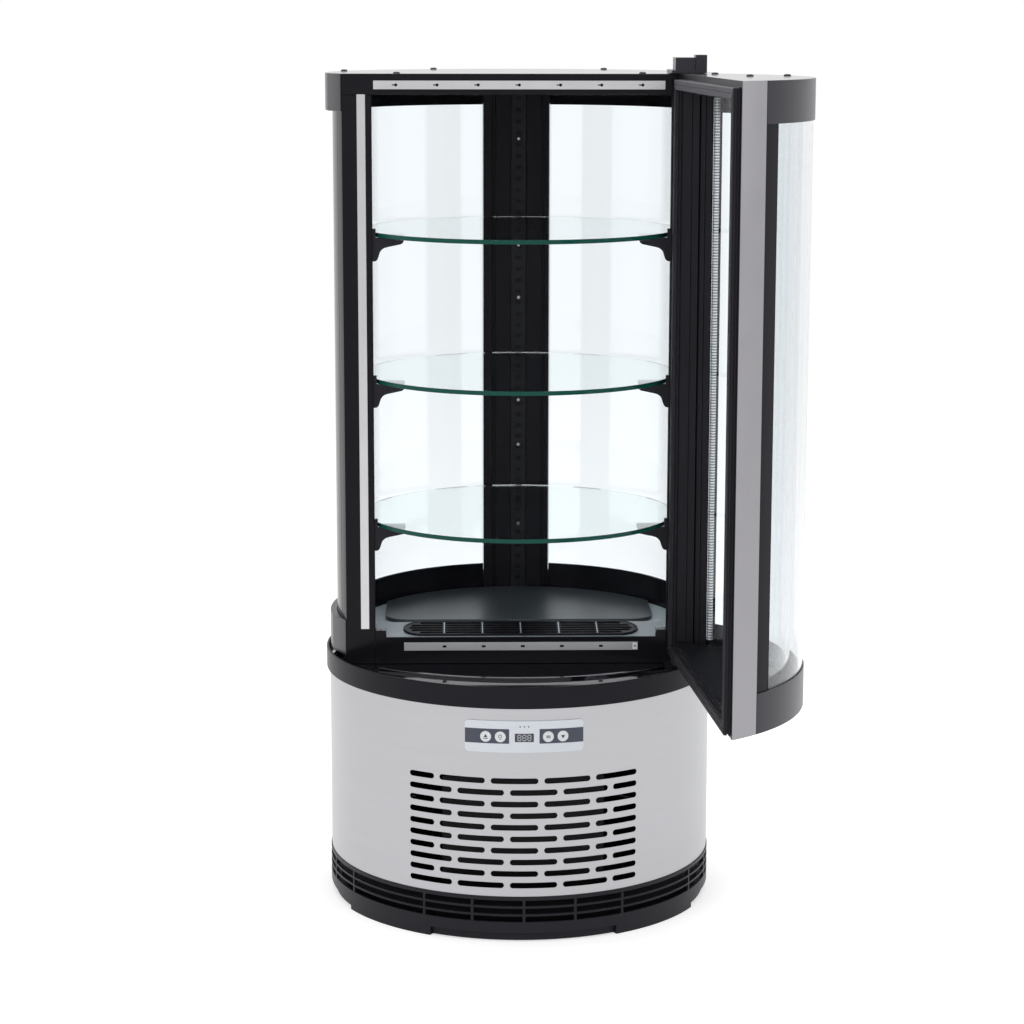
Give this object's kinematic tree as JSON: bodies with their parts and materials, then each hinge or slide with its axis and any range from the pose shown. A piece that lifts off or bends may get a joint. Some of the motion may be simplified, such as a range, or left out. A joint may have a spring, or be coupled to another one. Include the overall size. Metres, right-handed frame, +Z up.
{
  "type": "round cake display case",
  "caption": "Round refrigerated counter-top display case with a hinged D-shaped curved glass door, round glass shelves and a louvred steel machine base.",
  "frame": {"origin": "on the counter, under the centre of the round base", "axes": "+Z up, -Y to the front where the door is, +X to the right seen from the front, towards the door's hinge"},
  "size_m": [0.5305, 0.7025, 0.9873],
  "materials": {
    "black_plastic": "satin",
    "black_metal": "satin",
    "gloss_black": "gloss",
    "brushed_steel": "brushed",
    "dark_steel": "brushed",
    "handle_silver": "satin",
    "clear_glass": "clear",
    "shelf_glass": "clear",
    "seal": "matt",
    "panel_label": "satin",
    "button_dark": "satin",
    "display_black": "gloss",
    "white_foam": "satin",
    "fins": "satin",
    "fan_black": "satin"
  },
  "bodies": {
    "case": {"base_ring": "black_plastic", "base_plate": "black_metal", "shell": "brushed_steel", "rim_ring": "black_metal", "deck": "gloss_black", "compressor": "black_metal", "condenser": "fins", "evaporator": "fins", "power_inlet": "seal", "control_panel": "panel_label", "display": "display_black", "insulated_floor": "white_foam", "tray": "brushed_steel", "air_grille": "black_plastic", "sill": "black_plastic", "sill_strip": "brushed_steel", "top_strip": "brushed_steel", "left_strip": "brushed_steel", "right_strip": "brushed_steel", "left_post": "gloss_black", "right_post": "gloss_black", "header": "gloss_black", "rear_column": "gloss_black", "shelf_track": "dark_steel", "left_outer_glass": "clear_glass", "right_outer_glass": "clear_glass", "left_inner_glass": "clear_glass", "right_inner_glass": "clear_glass", "top_cap": "black_metal", "bottom_cap": "black_metal", "lamp": "white_foam", "hinge_top": "black_metal", "hinge_bottom": "black_metal", "left_bracket_top": "black_metal", "left_bracket_middle": "black_metal", "left_bracket_bottom": "black_metal", "right_bracket_top": "black_metal", "right_bracket_middle": "black_metal", "right_bracket_bottom": "black_metal", "rear_bracket_top": "black_metal", "rear_bracket_middle": "black_metal", "rear_bracket_bottom": "black_metal"},
    "door": {"door_hinge_stile": "black_metal", "door_free_stile": "black_metal", "door_handle": "handle_silver", "door_top_cap": "black_plastic", "door_bottom_cap": "black_plastic", "door_gasket": "seal", "door_outer_glass": "clear_glass", "door_inner_glass": "clear_glass"},
    "shelf_top": {"shelf_top": "shelf_glass"},
    "shelf_middle": {"shelf_middle": "shelf_glass"},
    "shelf_bottom": {"shelf_bottom": "shelf_glass"},
    "floor_plate": {"floor_plate": "dark_steel"},
    "button_lamp": {"button_lamp": "button_dark"},
    "button_defrost": {"button_defrost": "button_dark"},
    "button_set": {"button_set": "button_dark"},
    "button_power": {"button_power": "button_dark"},
    "condenser_fan": {"condenser_fan": "fan_black"},
    "evaporator_fan": {"evaporator_fan": "fan_black"}
  },
  "joints": [
    {"name": "door_hinge", "type": "hinge", "parent": "case", "child": "door", "pos_m": [0.181, -0.088, 0.633], "axis": [0, 0, 1], "range_deg": [-94.5, 20]},
    {"name": "shelf_top_lift", "type": "slide", "parent": "case", "child": "shelf_top", "axis": [0, 0, 1], "range_m": [0, 0.03]},
    {"name": "shelf_middle_lift", "type": "slide", "parent": "case", "child": "shelf_middle", "axis": [0, 0, 1], "range_m": [0, 0.03]},
    {"name": "shelf_bottom_lift", "type": "slide", "parent": "case", "child": "shelf_bottom", "axis": [0, 0, 1], "range_m": [0, 0.03]},
    {"name": "floor_plate_lift", "type": "slide", "parent": "case", "child": "floor_plate", "axis": [0, 0, 1], "range_m": [0, 0.03]},
    {"name": "button_lamp_press", "type": "slide", "parent": "case", "child": "button_lamp", "axis": [0.1905, 0.9817, 0], "range_m": [0, 0.0007], "stiffness_N_per_m": 1500},
    {"name": "button_defrost_press", "type": "slide", "parent": "case", "child": "button_defrost", "axis": [0.1184, 0.993, 0], "range_m": [0, 0.0007], "stiffness_N_per_m": 1500},
    {"name": "button_set_press", "type": "slide", "parent": "case", "child": "button_set", "axis": [-0.1184, 0.993, 0], "range_m": [0, 0.0007], "stiffness_N_per_m": 1500},
    {"name": "button_power_press", "type": "slide", "parent": "case", "child": "button_power", "axis": [-0.1908, 0.9816, 0], "range_m": [0, 0.0007], "stiffness_N_per_m": 1500},
    {"name": "condenser_fan_spin", "type": "hinge", "parent": "case", "child": "condenser_fan", "pos_m": [0, -0.1293, 0.0986], "axis": [0, -1, 0], "continuous": true},
    {"name": "evaporator_fan_spin", "type": "hinge", "parent": "case", "child": "evaporator_fan", "pos_m": [0, -0.011, 0.2578], "axis": [1, 0, 0], "continuous": true}
  ]
}
